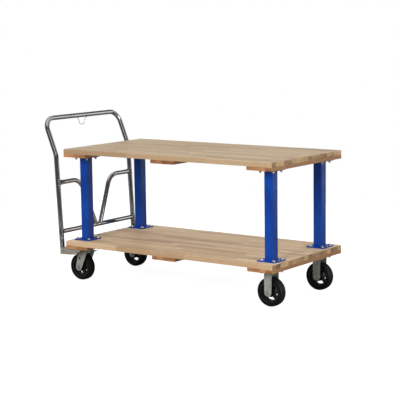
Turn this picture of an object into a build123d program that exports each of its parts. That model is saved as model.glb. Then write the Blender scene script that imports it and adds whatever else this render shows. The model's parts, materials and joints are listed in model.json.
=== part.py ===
from build123d import *
from math import cos, radians, sin, tan
import os

# A double-deck hardwood platform truck: two laminated decks with crosswise cleats, four bolted
# posts, a bent-tube push handle, two swivel casters at the handle end and two rigid casters at
# the front. +X points forwards, away from the handle, +Y to the left and +Z up. The origin is on
# the floor, under the centre of the box that the whole truck fills. All sizes are millimetres.

# ------------------------------------------------------------------------ driving dimensions

# Decks and cleats
deck_length = 1371.6
deck_width = 685.8
deck_thickness = 25.4
deck_corner_radius = 3.0
deck_edge_radius = 1.5
cleat_width = 152.4
cleat_thickness = 19.05
cleat_edge_radius = 1.0

# Posts, each with a welded plate at both ends
post_size = 50.8
post_wall = 3.2
post_corner_radius = 5.0
post_plate_size = 107.95
post_plate_thickness = 6.35
post_plate_corner_radius = 3.0
post_frame_height = 469.9
corner_end_inset = 73.0
corner_side_inset = 104.8

# Push handle: heights are above the top of the lower deck, leans are from the vertical
handle_tube_diameter = 26.7
handle_tube_wall = 2.1
upright_end_gap = 51.5
upright_side_inset = 24.9
upright_lean = 3.1
upright_drop = 78.0
kink_height = 474.5
kink_radius = 100.0
grip_lean = 22.2
grip_height = 674.5
grip_corner_radius = 67.0
plug_dome_height = 6.0
plug_shank_length = 14.0

# Cross tube and bent braces between the uprights
brace_tube_diameter = 25.4
brace_tube_wall = 1.7
cross_tube_height = 43.6
brace_height = 319.0
brace_corner_offset = 133.0
brace_foot_offset = 17.0
brace_bend_radius = 88.0
brace_flat_height = 32.0
brace_flat_width = 16.0
brace_flat_length = 46.0

# Wire loop under the grip
wire_diameter = 3.2
wire_loop_top_width = 82.0
wire_loop_bottom_width = 30.0
wire_loop_depth = 40.0
wire_loop_bend_radius = 12.0
wire_pad_diameter = 7.5

# Channel feet that hold the uprights to the rear lower cleat
foot_wall = 4.0
foot_rear_height = 38.1
foot_front_height = 31.0
foot_length = 146.0
foot_nose_length = 40.0
foot_nose_rise = 22.0
foot_screw_insets = (46.0, 80.0)

# Casters and wheels
wheel_diameter = 152.4
wheel_width = 50.8
wheel_shoulder_radius = 14.0
tyre_bore_diameter = 114.0
tyre_flare = 4.0
rim_width = 42.0
rim_thickness = 8.0
web_thickness = 20.0
hub_diameter = 42.0
core_fillet_radius = 2.5
core_overlap = 0.5
window_count = 4
window_inner_radius = 27.0
window_outer_radius = 43.0
window_corner_radius = 4.0
spoke_width = 14.0
spoke_angles = {"rear_left": 52.0, "rear_right": 22.0, "front_left": 52.0, "front_right": 45.0}
bearing_diameter = 31.8
axle_sleeve_diameter = 19.0
axle_diameter = 12.7
fork_gap = 61.9
fork_thickness = 4.8
fork_end_radius = 20.0
fork_bend_radius = 4.0
rigid_leg_width = 45.0
swivel_leg_top_width = 60.0
swivel_leg_top_front = 17.0
swivel_crown_front = 34.0
swivel_trail = 44.0
swivel_leg_slot_height = 15.0
swivel_leg_slot_width = 8.0
swivel_leg_slot_drop = 42.0
swivel_leg_slot_rear = 37.0
caster_plate_length = 101.6
caster_plate_width = 114.3
caster_plate_thickness = 5.0
caster_plate_corner_radius = 8.0
wheel_top_clearance = 12.1
crown_thickness = 5.0
race_height = 5.0
race_gap = 6.0
race_bore_radius = 16.0
ball_diameter = 7.9
ball_count = 14
kingpin_diameter = 15.8
kingpin_head_diameter = 28.0
kingpin_head_height = 6.0
kingpin_head_fillet = 2.0
race_edge_margin = 1.0

# Fasteners
corner_bolt_spacing = 76.2
corner_bolt_diameter = 9.5
corner_hex_flats = 14.3
corner_head_height = 6.2
corner_nut_height = 8.3
corner_thread_stand = 4.0
washer_diameter = 20.6
washer_thickness = 1.6
lag_diameter = 7.9
lag_hex_flats = 12.7
lag_head_height = 5.4
lag_length = 38.0
stud_grip = 30.0
stud_nut_height = 6.7
stud_thread_stand = 4.5
stud_washer_diameter = 17.5
axle_hex_flats = 19.0
axle_head_height = 8.0
axle_nut_height = 11.0
axle_thread_stand = 3.0
hex_crown_height = 1.2
bolt_end_chamfer_share = 0.1
cleat_screw_diameter = 4.8
cleat_screw_head_diameter = 10.0
cleat_screw_sink_angle = 82.0
cleat_screw_length = 35.0
cleat_screw_row_offset = 57.0
cleat_screw_end_inset = 18.0
cleat_screw_mid_offset = 110.0

# Clearances
bolt_clearance = 0.4
thread_clearance = 0.1
weld_gap = 0.2
bond_gap = 0.05
plug_clearance = 0.15
hub_end_clearance = 0.8
bearing_running_clearance = 0.08
kingpin_running_clearance = 0.08
kingpin_head_clearance = 0.3
race_groove_clearance = 0.15
foot_side_clearance = 1.7

# --------------------------------------------------------------------------- derived positions

wheel_radius = wheel_diameter / 2
axle_height = wheel_radius
crown_bottom = wheel_diameter + wheel_top_clearance
crown_top = crown_bottom + crown_thickness
lower_race_top = crown_top + race_height
upper_race_bottom = lower_race_top + race_gap
ball_height = lower_race_top + race_gap / 2
caster_plate_bottom = upper_race_bottom + race_height
caster_height = caster_plate_bottom + caster_plate_thickness

lower_cleat_bottom = caster_height
lower_deck_bottom = lower_cleat_bottom + cleat_thickness
lower_deck_top = lower_deck_bottom + deck_thickness
upper_cleat_bottom = lower_deck_top + post_frame_height
upper_deck_bottom = upper_cleat_bottom + cleat_thickness
base_plate_top = lower_deck_top + post_plate_thickness
top_plate_bottom = upper_cleat_bottom - post_plate_thickness

# The truck's box runs from the back of the grip to the front of the deck or of the front wheels.
handle_overhang = (upright_end_gap + kink_height * tan(radians(upright_lean))
                   + (grip_height - kink_height) * tan(radians(grip_lean))
                   + handle_tube_diameter / 2)
rear_reach = deck_length / 2 + handle_overhang
front_reach = max(deck_length / 2, deck_length / 2 - corner_end_inset + wheel_radius)
deck_x = (rear_reach - front_reach) / 2
deck_rear = deck_x - deck_length / 2
deck_front = deck_x + deck_length / 2

corner_rear_x = deck_rear + corner_end_inset
corner_front_x = deck_front - corner_end_inset
corner_y = deck_width / 2 - corner_side_inset
cleat_xs = {"rear": deck_rear + cleat_width / 2, "middle": deck_x, "front": deck_front - cleat_width / 2}
corners = {
    "rear_left": (corner_rear_x, corner_y),
    "rear_right": (corner_rear_x, -corner_y),
    "front_left": (corner_front_x, corner_y),
    "front_right": (corner_front_x, -corner_y),
}
bolt_offsets = [(i * corner_bolt_spacing / 2, j * corner_bolt_spacing / 2)
                for i in (-1, 1) for j in (-1, 1)]
bolt_points = [(x + i, y + j) for x, y in corners.values() for i, j in bolt_offsets]

cleat_screw_ys = [side * y for side in (-1, 1)
                  for y in (cleat_screw_mid_offset, deck_width / 2 - cleat_screw_end_inset)]
cleat_screw_points = [(x + row * cleat_screw_row_offset, y)
                      for x in cleat_xs.values() for row in (-1, 1) for y in cleat_screw_ys]

upright_y = deck_width / 2 - upright_side_inset
foot_width = handle_tube_diameter + 2 * (foot_side_clearance + foot_wall)
foot_screw_points = [(deck_rear + inset, side * upright_y)
                     for side in (-1, 1) for inset in foot_screw_insets]

tyre_bore_radius = tyre_bore_diameter / 2
tyre_flare_radius = tyre_bore_radius + tyre_flare
rim_radius = tyre_bore_radius - bond_gap
rim_bore_radius = rim_radius - rim_thickness
hub_radius = hub_diameter / 2
hub_length = fork_gap - 2 * hub_end_clearance
bearing_radius = bearing_diameter / 2
sleeve_radius = axle_sleeve_diameter / 2
axle_radius = axle_diameter / 2
fork_outer = fork_gap / 2 + fork_thickness
race_outer_radius = fork_gap / 2 - race_edge_margin
race_pitch_radius = (race_bore_radius + race_outer_radius) / 2


def upright_x(height):
    """X of the straight lower upright at a height above the floor."""
    return deck_rear - upright_end_gap - (height - lower_deck_top) * tan(radians(upright_lean))


kink_x = upright_x(lower_deck_top + kink_height)
grip_x = kink_x - (grip_height - kink_height) * tan(radians(grip_lean))
upright_end_z = lower_deck_top - upright_drop

# Upright axis direction, and the leaning plane of both lower uprights: its local x runs across
# the truck and its local y runs up the lean, from the level of the lower deck's top.
upright_direction = (-sin(radians(upright_lean)), 0, cos(radians(upright_lean)))
handle_plane = Plane(origin=(upright_x(lower_deck_top), 0, lower_deck_top),
                     x_dir=(0, 1, 0), z_dir=(cos(radians(upright_lean)), 0, sin(radians(upright_lean))))
along_lean = 1 / cos(radians(upright_lean))

os.makedirs("parts", exist_ok=True)


def save(piece, node):
    """Label a finished piece with its node name and write its STEP file."""
    piece.part.label = node
    export_step(piece.part, f"parts/{node}.step")


def placed(shape, *places):
    """Copies of a shape at each place, as one piece that may hold several solids."""
    with BuildPart() as piece:
        with Locations(*places):
            add(shape.part)
    return piece


def side_plane(y):
    """Upright plane facing -Y: local x runs along +X and local y along +Z."""
    return Plane(origin=(0, y, 0), x_dir=(1, 0, 0), z_dir=(0, -1, 0))


# ------------------------------------------------------------------------------- fasteners

def hex_prism(flats, height, bottom, bore=0.0):
    """Hexagon with its top corners turned off, standing on `bottom`, optionally bored."""
    corner = flats / 3 ** 0.5
    with BuildPart() as prism:
        with BuildSketch(Plane.XY.offset(bottom)):
            RegularPolygon(corner, 6)
            if bore:
                Circle(bore, mode=Mode.SUBTRACT)
        extrude(amount=height)
        with BuildSketch(Plane.XZ):
            with BuildLine():
                Polyline((0, bottom), (corner, bottom), (corner, bottom + height - hex_crown_height),
                         (flats / 2 - hex_crown_height / 2, bottom + height), (0, bottom + height),
                         close=True)
            make_face()
        revolve(axis=Axis.Z, mode=Mode.INTERSECT)
    return prism


def headed_bolt(diameter, flats, head_height, length):
    """Hex bolt pointing up: its shank starts at z = 0 and its head hangs below."""
    with BuildPart() as bolt:
        with BuildSketch(Plane.XY):
            Circle(diameter / 2)
        extrude(amount=length)
        chamfer(bolt.edges().sort_by(Axis.Z)[-1], length=diameter * bolt_end_chamfer_share)
        with Locations(Location((0, 0, 0), (180, 0, 0))):
            add(hex_prism(flats, head_height, 0).part)
    return bolt


def washer(outer_diameter, bolt_diameter):
    """Flat ring for one bolt, standing on z = 0."""
    with BuildPart() as ring:
        with BuildSketch(Plane.XY):
            Circle(outer_diameter / 2)
            Circle(bolt_diameter / 2 + bolt_clearance, mode=Mode.SUBTRACT)
        extrude(amount=washer_thickness)
    return ring


def hung(shape, height):
    """Copies at all the plates' corner holes, turned over to hang below one height."""
    return placed(shape, *[Location((x, y, height), (180, 0, 0)) for x, y in bolt_points])


# Corner bolts drop through base plate, deck, cleat and caster plate, with their heads on top.
corner_head_seat = base_plate_top + washer_thickness
corner_bolt = headed_bolt(corner_bolt_diameter, corner_hex_flats, corner_head_height,
                          corner_head_seat - caster_plate_bottom + corner_nut_height + corner_thread_stand)
corner_nut = hex_prism(corner_hex_flats, corner_nut_height, 0, corner_bolt_diameter / 2 + thread_clearance)
save(hung(corner_bolt, corner_head_seat), "corner_bolts")
save(hung(washer(washer_diameter, corner_bolt_diameter), corner_head_seat), "corner_washers")
save(hung(corner_nut, caster_plate_bottom), "corner_nuts")

# Studs screwed into the upper cleats carry the top plates on washers and nuts.
stud_nut_seat = top_plate_bottom - washer_thickness
stud_bottom = stud_nut_seat - stud_nut_height - stud_thread_stand
stud_nut = hex_prism(lag_hex_flats, stud_nut_height, 0, lag_diameter / 2 + thread_clearance)
with BuildPart() as plate_stud:
    with BuildSketch(Plane.XY):
        Circle(lag_diameter / 2)
    extrude(amount=upper_cleat_bottom + stud_grip - stud_bottom)
    chamfer(plate_stud.edges().filter_by(GeomType.CIRCLE), length=lag_diameter * bolt_end_chamfer_share)
save(placed(plate_stud, *[(x, y, stud_bottom) for x, y in bolt_points]), "top_plate_studs")
save(hung(washer(stud_washer_diameter, lag_diameter), top_plate_bottom), "top_plate_washers")
save(hung(stud_nut, stud_nut_seat), "top_plate_nuts")

lag_screw = headed_bolt(lag_diameter, lag_hex_flats, lag_head_height, lag_length)
foot_screw_seat = lower_cleat_bottom - foot_wall
save(placed(lag_screw, *[(x, y, foot_screw_seat) for x, y in foot_screw_points]), "handle_foot_screws")

cleat_screw_head_height = ((cleat_screw_head_diameter - cleat_screw_diameter) / 2
                           / tan(radians(cleat_screw_sink_angle / 2)))
with BuildPart() as cleat_screw:
    with BuildSketch(Plane.XZ):
        with BuildLine():
            Polyline((0, 0), (cleat_screw_head_diameter / 2, 0),
                     (cleat_screw_diameter / 2, cleat_screw_head_height),
                     (cleat_screw_diameter / 2, cleat_screw_length - cleat_screw_diameter),
                     (0, cleat_screw_length), close=True)
        make_face()
    revolve(axis=Axis.Z)
with BuildPart() as cleat_screws:
    for cleat_bottom in (lower_cleat_bottom, upper_cleat_bottom):
        with Locations(*[(x, y, cleat_bottom) for x, y in cleat_screw_points]):
            add(cleat_screw.part)
save(cleat_screws, "cleat_screws")


# ---------------------------------------------------------------------------- decks and cleats

def drill(points, bottom, depth, radius):
    """Round holes of one radius and depth, rising from `bottom`, in the part being built."""
    with BuildSketch(Plane.XY.offset(bottom)) as holes:
        with Locations(*points):
            Circle(radius)
    extrude(holes.sketch, amount=depth, mode=Mode.SUBTRACT)


def wooden_board(x, length, bottom, thickness, edge_radius, drillings):
    """Full-width board centred at x, with eased edges and holes drilled up from its underside.

    drillings lists (points, depth, radius) of each kind of hole.
    """
    with BuildPart() as board:
        with BuildSketch(Plane.XY.offset(bottom)):
            with Locations((x, 0)):
                RectangleRounded(length, deck_width, deck_corner_radius)
        extrude(amount=thickness)
        fillet(board.faces().filter_by(Axis.Z).edges(), radius=edge_radius)
        for points, depth, radius in drillings:
            if points:
                drill(points, bottom, depth, radius)
    return board


bolt_hole_radius = corner_bolt_diameter / 2 + bolt_clearance
lag_hole_radius = lag_diameter / 2 + thread_clearance
screw_hole_radius = cleat_screw_diameter / 2 + thread_clearance
screw_sink_radius = cleat_screw_head_diameter / 2 + thread_clearance
screw_depth = cleat_screw_length - cleat_thickness + bolt_clearance
foot_screw_depth = lag_length - foot_wall - cleat_thickness + bolt_clearance
stud_depth = stud_grip - cleat_thickness + bolt_clearance

lower_deck = wooden_board(deck_x, deck_length, lower_deck_bottom, deck_thickness, deck_edge_radius,
                          [(bolt_points, deck_thickness, bolt_hole_radius),
                           (cleat_screw_points, screw_depth, screw_hole_radius),
                           (foot_screw_points, foot_screw_depth, lag_hole_radius)])
save(lower_deck, "lower_deck")

upper_deck = wooden_board(deck_x, deck_length, upper_deck_bottom, deck_thickness, deck_edge_radius,
                          [(bolt_points, stud_depth, lag_hole_radius),
                           (cleat_screw_points, screw_depth, screw_hole_radius)])
save(upper_deck, "upper_deck")


def on_cleat(points, x):
    """The points that lie on the cleat centred at x."""
    return [point for point in points if abs(point[0] - x) < cleat_width / 2]


def cleat(x, bottom, bolt_radius, lag_points):
    """Cleat with countersunk screw holes, and with the holes of what is fastened through it."""
    board = wooden_board(x, cleat_width, bottom, cleat_thickness, cleat_edge_radius,
                         [(on_cleat(bolt_points, x), cleat_thickness, bolt_radius),
                          (on_cleat(lag_points, x), cleat_thickness, lag_hole_radius)])
    with BuildPart() as sunk:
        add(board.part)
        with Locations(*[Location((*point, bottom), (180, 0, 0))
                         for point in on_cleat(cleat_screw_points, x)]):
            CounterSinkHole(screw_hole_radius, screw_sink_radius, cleat_thickness,
                            cleat_screw_sink_angle)
    return sunk


for place, cleat_x in cleat_xs.items():
    lower_cleat = cleat(cleat_x, lower_cleat_bottom, bolt_hole_radius, foot_screw_points)
    upper_cleat = cleat(cleat_x, upper_cleat_bottom, lag_hole_radius, [])
    save(lower_cleat, f"lower_cleat_{place}")
    save(upper_cleat, f"upper_cleat_{place}")


# --------------------------------------------------------------------------------------- posts

def post_tube(x, y):
    """Square tube between the two plates of one post."""
    with BuildPart() as tube:
        with BuildSketch(Plane.XY.offset(base_plate_top)):
            with Locations((x, y)):
                RectangleRounded(post_size, post_size, post_corner_radius)
                RectangleRounded(post_size - 2 * post_wall, post_size - 2 * post_wall,
                                 post_corner_radius - post_wall, mode=Mode.SUBTRACT)
        extrude(amount=top_plate_bottom - base_plate_top)
    return tube


def post_plate(x, y, bottom, hole_radius):
    """Square plate with the corner hole pattern, welded to one end of a post."""
    with BuildPart() as plate:
        with BuildSketch(Plane.XY.offset(bottom)):
            with Locations((x, y)):
                RectangleRounded(post_plate_size, post_plate_size, post_plate_corner_radius)
        extrude(amount=post_plate_thickness)
        drill([(x + i, y + j) for i, j in bolt_offsets], bottom, post_plate_thickness, hole_radius)
    return plate


for place, (x, y) in corners.items():
    save(post_tube(x, y), f"post_{place}")
    save(post_plate(x, y, lower_deck_top, bolt_hole_radius), f"base_plate_{place}")

with BuildPart() as top_plates:
    for x, y in corners.values():
        add(post_plate(x, y, top_plate_bottom, lag_diameter / 2 + bolt_clearance).part)
save(top_plates, "top_plates")

# -------------------------------------------------------------------------------- push handle

upright_bottom = (upright_x(upright_end_z), upright_end_z)
kink = (kink_x, lower_deck_top + kink_height)
grip = (grip_x, lower_deck_top + grip_height)


def handle_shape(radius, inner_radius, bottom):
    """The bent handle tube: up one side, over the grip and down the other, swept along its axis."""
    right_side = [(bottom[0], -upright_y, bottom[1]), (kink[0], -upright_y, kink[1]),
                  (grip[0], -upright_y, grip[1])]
    left_side = [(x, -y, z) for x, y, z in reversed(right_side)]
    with BuildPart() as tube:
        with BuildLine():
            spine = FilletPolyline(*right_side, *left_side,
                                   radius=(kink_radius, grip_corner_radius,
                                           grip_corner_radius, kink_radius))
        with BuildSketch(Plane(origin=spine @ 0, x_dir=(0, 1, 0), z_dir=upright_direction)):
            Circle(radius)
            if inner_radius:
                Circle(inner_radius, mode=Mode.SUBTRACT)
        sweep(path=spine)
    return tube


tube_radius = handle_tube_diameter / 2
tube_bore_radius = tube_radius - handle_tube_wall
handle_tube = handle_shape(tube_radius, tube_bore_radius, upright_bottom)
save(handle_tube, "handle_tube")

# Room that everything welded to the handle tube leaves for it: the tube, a weld gap larger.
tube_room = handle_shape(tube_radius + weld_gap, 0, upright_bottom)

with BuildPart() as end_plug:
    shank_radius = tube_bore_radius - plug_clearance
    with BuildSketch(Plane.XZ):
        with BuildLine():
            Line((0, plug_shank_length), (shank_radius, plug_shank_length))
            Line((shank_radius, plug_shank_length), (shank_radius, 0))
            Line((shank_radius, 0), (tube_radius, 0))
            EllipticalCenterArc((0, 0), tube_radius, plug_dome_height, start_angle=270, arc_size=90)
            Line((0, -plug_dome_height), (0, plug_shank_length))
        make_face()
    revolve(axis=Axis.Z)
plug_tilt = (0, -upright_lean, 0)
save(placed(end_plug, *[Location((upright_bottom[0], side * upright_y, upright_bottom[1]), plug_tilt)
                        for side in (-1, 1)]), "handle_end_plugs")

brace_radius = brace_tube_diameter / 2
brace_bore_radius = brace_radius - brace_tube_wall


def cross_shape(radius, inner_radius):
    """Straight tube across the truck from upright axis to upright axis."""
    with BuildPart() as tube:
        level = handle_plane.location * Location((0, cross_tube_height * along_lean, 0))
        with BuildSketch(Plane(origin=level.position - Vector(0, upright_y, 0), z_dir=(0, 1, 0))):
            Circle(radius)
            if inner_radius:
                Circle(inner_radius, mode=Mode.SUBTRACT)
        extrude(amount=2 * upright_y)
    return tube


with BuildPart() as cross_tube:
    add(cross_shape(brace_radius, brace_bore_radius).part)
    add(tube_room.part, mode=Mode.SUBTRACT)
    add(cross_tube.solids().sort_by(SortBy.VOLUME)[-1], mode=Mode.REPLACE)
save(cross_tube, "handle_cross_tube")
cross_room = cross_shape(brace_radius + weld_gap, 0)


def brace_body(radius, flat_height, flat_width, mode):
    """The left brace: a flattened end at the upright, a straight run, one bend and a sloping leg."""
    flat_end = upright_y - brace_flat_length
    run_height = brace_height * along_lean
    with BuildLine(handle_plane):
        spine = FilletPolyline((flat_end, run_height), (brace_corner_offset, run_height),
                               (brace_foot_offset, cross_tube_height * along_lean),
                               radius=brace_bend_radius)
    run_start = handle_plane.from_local_coords((flat_end, run_height, 0))
    upright_end = handle_plane.from_local_coords((upright_y, run_height, 0))
    with BuildSketch(Plane(origin=upright_end, x_dir=upright_direction, z_dir=(0, -1, 0))) as flat:
        Ellipse(flat_height / 2, flat_width / 2)
    with BuildSketch(Plane(origin=run_start, x_dir=upright_direction, z_dir=(0, -1, 0))) as full:
        Circle(radius)
    loft(sections=[flat.sketch, full.sketch], mode=mode)
    sweep(sections=full.sketch, path=spine, mode=mode)


# Each brace is hollow, and coped to its upright and to the cross tube.
with BuildPart() as brace_left:
    brace_body(brace_radius, brace_flat_height, brace_flat_width, Mode.ADD)
    brace_body(brace_bore_radius, brace_flat_height - 2 * brace_tube_wall,
               brace_flat_width - 2 * brace_tube_wall, Mode.SUBTRACT)
    add(tube_room.part, mode=Mode.SUBTRACT)
    add(cross_room.part, mode=Mode.SUBTRACT)
    add(brace_left.solids().sort_by(SortBy.VOLUME)[-1], mode=Mode.REPLACE)
with BuildPart() as brace_right:
    mirror(brace_left.part, about=Plane.XZ)
save(brace_left, "handle_brace_left")
save(brace_right, "handle_brace_right")

wire_radius = wire_diameter / 2
with BuildPart() as wire_loop:
    top = (wire_loop_top_width / 2, 0)
    bottom = (wire_loop_bottom_width / 2, -wire_loop_depth - tube_radius)
    loop_plane = Plane(origin=(grip[0], 0, grip[1]), x_dir=(0, 1, 0), z_dir=(1, 0, 0))
    with BuildLine(loop_plane):
        loop_spine = FilletPolyline((-top[0], top[1]), (-bottom[0], bottom[1]), bottom, top,
                                    radius=wire_loop_bend_radius)
    with BuildSketch(Plane(origin=loop_spine @ 0, z_dir=loop_spine % 0)):
        Circle(wire_radius)
    sweep(path=loop_spine)
    for pad_y in (-1, 1):
        pad_place = loop_plane.from_local_coords((pad_y * (top[0] - wire_diameter), -tube_radius, 0))
        with Locations(pad_place):
            Sphere(wire_pad_diameter / 2)
    add(tube_room.part, mode=Mode.SUBTRACT)
    add(wire_loop.solids().sort_by(SortBy.VOLUME)[-1], mode=Mode.REPLACE)
save(wire_loop, "handle_wire_loop")


def handle_foot(side):
    """Inverted channel under the rear cleat, coped round the upright, with a cut-away nose."""
    rear = upright_x(lower_cleat_bottom)
    front = rear + foot_length
    top = lower_cleat_bottom
    y = side * upright_y
    with BuildPart() as foot:
        with BuildSketch(side_plane(y + foot_width / 2)):
            with BuildLine():
                Polyline((rear, top), (front, top), (front, top - foot_front_height + foot_nose_rise),
                         (front - foot_nose_length, top - foot_front_height),
                         (rear, top - foot_rear_height), close=True)
            make_face()
        extrude(amount=foot_width)
        with BuildSketch(side_plane(y + foot_width / 2 - foot_wall)):
            with Locations(((rear + front) / 2, top - foot_wall - foot_rear_height / 2)):
                Rectangle(2 * foot_length, foot_rear_height)
        extrude(amount=foot_width - 2 * foot_wall, mode=Mode.SUBTRACT)
        drill([point for point in foot_screw_points if point[1] * side > 0],
              top - foot_wall, foot_wall, lag_diameter / 2 + bolt_clearance)
        add(tube_room.part, mode=Mode.SUBTRACT)
    return foot


for place, side in (("left", 1), ("right", -1)):
    save(handle_foot(side), f"handle_foot_{place}")


# -------------------------------------------------------------------------------------- wheels

# Wheels and sleeves are drawn round the Y axis at the origin and then placed at their axles.
axle_section_plane = Plane(origin=(0, 0, 0), x_dir=(0, 1, 0), z_dir=(1, 0, 0))

with BuildPart() as tyre:
    with BuildSketch(axle_section_plane) as tyre_section:
        with BuildLine():
            Polyline((-rim_width / 2, tyre_bore_radius), (-wheel_width / 2, tyre_flare_radius),
                     (-wheel_width / 2, wheel_radius), (wheel_width / 2, wheel_radius),
                     (wheel_width / 2, tyre_flare_radius), (rim_width / 2, tyre_bore_radius),
                     close=True)
        make_face()
        fillet(tyre_section.vertices().group_by(Axis.Y)[-1], radius=wheel_shoulder_radius)
    revolve(axis=Axis.Y)

with BuildPart() as wheel_core:
    with BuildSketch(axle_section_plane) as core_section:
        with Locations((0, (bearing_radius + hub_radius) / 2)):
            Rectangle(hub_length, hub_radius - bearing_radius)
        with Locations((0, (hub_radius + rim_bore_radius) / 2)):
            Rectangle(web_thickness, rim_bore_radius - hub_radius + 2 * core_overlap)
        with Locations((0, (rim_bore_radius + rim_radius) / 2)):
            Rectangle(rim_width, rim_thickness)
        web_corners = core_section.vertices().filter_by(
            lambda corner: abs(abs(corner.X) - web_thickness / 2) < core_overlap / 2)
        fillet(web_corners, radius=core_fillet_radius)
    revolve(axis=Axis.Y)
    with BuildSketch(side_plane(0)) as windows:
        Circle(window_outer_radius)
        Circle(window_inner_radius, mode=Mode.SUBTRACT)
        with PolarLocations((window_inner_radius + window_outer_radius) / 2, window_count):
            Rectangle(window_outer_radius, spoke_width, mode=Mode.SUBTRACT)
        fillet(windows.vertices(), radius=window_corner_radius)
    extrude(amount=web_thickness, both=True, mode=Mode.SUBTRACT)


def axle_ring(outer_radius, bore_radius, length):
    """Plain ring round the Y axis, centred at the origin."""
    with BuildPart() as ring:
        with BuildSketch(side_plane(0)):
            Circle(outer_radius)
            Circle(bore_radius, mode=Mode.SUBTRACT)
        extrude(amount=length / 2, both=True)
    return ring


wheel_bearing = axle_ring(bearing_radius - bond_gap, sleeve_radius + bearing_running_clearance,
                          hub_length - 2 * hub_end_clearance)
axle_sleeve = axle_ring(sleeve_radius, axle_radius + thread_clearance, fork_gap)

axle_points = {place: (x - swivel_trail if place.startswith("rear") else x, y, axle_height)
               for place, (x, y) in corners.items()}
for place, axle_point in axle_points.items():
    save(placed(tyre, axle_point), f"tyre_{place}")
    # Each wheel has stopped at its own angle: its first spoke leans up from the +X direction.
    save(placed(wheel_core, Location(axle_point, (0, -spoke_angles[place], 0))), f"wheel_core_{place}")
    save(placed(wheel_bearing, axle_point), f"wheel_bearing_{place}")

# ----------------------------------------------------------------------------------- axle sets

axle_bolt = headed_bolt(axle_diameter, axle_hex_flats, axle_head_height,
                        2 * fork_outer + axle_nut_height + axle_thread_stand)
axle_nut = hex_prism(axle_hex_flats, axle_nut_height, 0, axle_radius + thread_clearance)


def outer_place(axle_point, outward):
    """Place on one side of a fork, turned so that the bolt points across the wheel.

    outward is 1 for the side that faces away from the truck and -1 for the side that faces it.
    """
    x, y, z = axle_point
    side = 1 if y > 0 else -1
    return Location((x, y + side * outward * fork_outer, z), (side * 90, 0, 0))


def placed_set(shape, places, outward):
    """An axle bolt or nut at each of the named axles."""
    return placed(shape, *[outer_place(axle_points[place], outward) for place in places])


front = ("front_left", "front_right")
save(placed_set(axle_bolt, front, 1), "rigid_axle_bolts")
save(placed_set(axle_nut, front, -1), "rigid_axle_nuts")
save(placed(axle_sleeve, *[axle_points[place] for place in front]), "rigid_axle_sleeves")
for side_name in ("left", "right"):
    rear = (f"rear_{side_name}",)
    save(placed_set(axle_bolt, rear, 1), f"swivel_axle_bolt_{side_name}")
    save(placed_set(axle_nut, rear, -1), f"swivel_axle_nut_{side_name}")
    save(placed(axle_sleeve, axle_points[rear[0]]), f"swivel_axle_sleeve_{side_name}")


# --------------------------------------------------------------------------------------- forks

# Casters are drawn round the Z axis above the origin, on the floor, and then placed.

def caster_plate():
    """Mounting plate with the corner hole pattern."""
    with BuildPart() as plate:
        with BuildSketch(Plane.XY.offset(caster_plate_bottom)):
            RectangleRounded(caster_plate_length, caster_plate_width, caster_plate_corner_radius)
        extrude(amount=caster_plate_thickness)
        drill(bolt_offsets, caster_plate_bottom, caster_plate_thickness,
              corner_bolt_diameter / 2 + bolt_clearance)
    return plate


def fork_legs(axle_x, top_front, top_width, top):
    """Two tapered legs from `top` down round the axle, bored for it, in the part being built."""
    for side in (-1, 1):
        with BuildSketch(side_plane(side * fork_gap / 2)) as leg:
            with Locations((axle_x, axle_height)):
                Circle(fork_end_radius)
            with Locations((top_front - top_width / 2, top - crown_thickness / 2)):
                Rectangle(top_width, crown_thickness)
            make_hull()
            with Locations((axle_x, axle_height)):
                Circle(axle_radius + thread_clearance, mode=Mode.SUBTRACT)
        extrude(leg.sketch, amount=-side * fork_thickness)


with BuildPart() as rigid_fork:
    add(caster_plate().part)
    fork_legs(0, rigid_leg_width / 2, rigid_leg_width, caster_plate_bottom)
for side_name in ("left", "right"):
    save(placed(rigid_fork, corners[f"front_{side_name}"]), f"rigid_fork_{side_name}")


def race_ring(bottom):
    """Hardened ring that carries the ball row, in the part being built."""
    with BuildSketch(Plane.XY.offset(bottom)) as ring:
        Circle(race_outer_radius)
        Circle(race_bore_radius, mode=Mode.SUBTRACT)
    extrude(ring.sketch, amount=race_height)
    with BuildSketch(Plane.XZ) as groove:
        with Locations((race_pitch_radius, ball_height)):
            Circle(ball_diameter / 2 + race_groove_clearance)
    revolve(groove.sketch, axis=Axis.Z, mode=Mode.SUBTRACT)


kingpin_radius = kingpin_diameter / 2
with BuildPart() as swivel_plate:
    add(caster_plate().part)
    race_ring(upper_race_bottom)
    drill([(0, 0)], caster_plate_bottom, caster_plate_thickness, kingpin_radius + thread_clearance)

with BuildPart() as swivel_fork:
    crown_rear = swivel_leg_top_front - swivel_leg_top_width
    with BuildSketch(Plane.XY.offset(crown_bottom)):
        with Locations(((crown_rear + swivel_crown_front) / 2, 0)):
            Rectangle(swivel_crown_front - crown_rear, 2 * fork_outer)
    extrude(amount=crown_thickness)
    fork_legs(-swivel_trail, swivel_leg_top_front, swivel_leg_top_width, crown_top)
    fillet(swivel_fork.edges().filter_by(Axis.X).group_by(Axis.Z)[-1], radius=fork_bend_radius)
    race_ring(crown_top)
    drill([(0, 0)], crown_bottom, crown_thickness, kingpin_radius + kingpin_running_clearance)
    with BuildSketch(side_plane(0)):
        with Locations((-swivel_leg_slot_rear, crown_top - swivel_leg_slot_drop)):
            SlotOverall(swivel_leg_slot_height, swivel_leg_slot_width, rotation=90)
    extrude(amount=2 * fork_gap, both=True, mode=Mode.SUBTRACT)

with BuildPart() as kingpin:
    head_top = crown_bottom - kingpin_head_clearance
    with BuildSketch(Plane.XY.offset(head_top)):
        Circle(kingpin_radius)
    extrude(amount=caster_height - head_top)
    with BuildSketch(Plane.XY.offset(head_top - kingpin_head_height)):
        Circle(kingpin_head_diameter / 2)
    extrude(amount=kingpin_head_height)
    fillet(kingpin.edges().sort_by(Axis.Z)[0], radius=kingpin_head_fillet)

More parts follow.
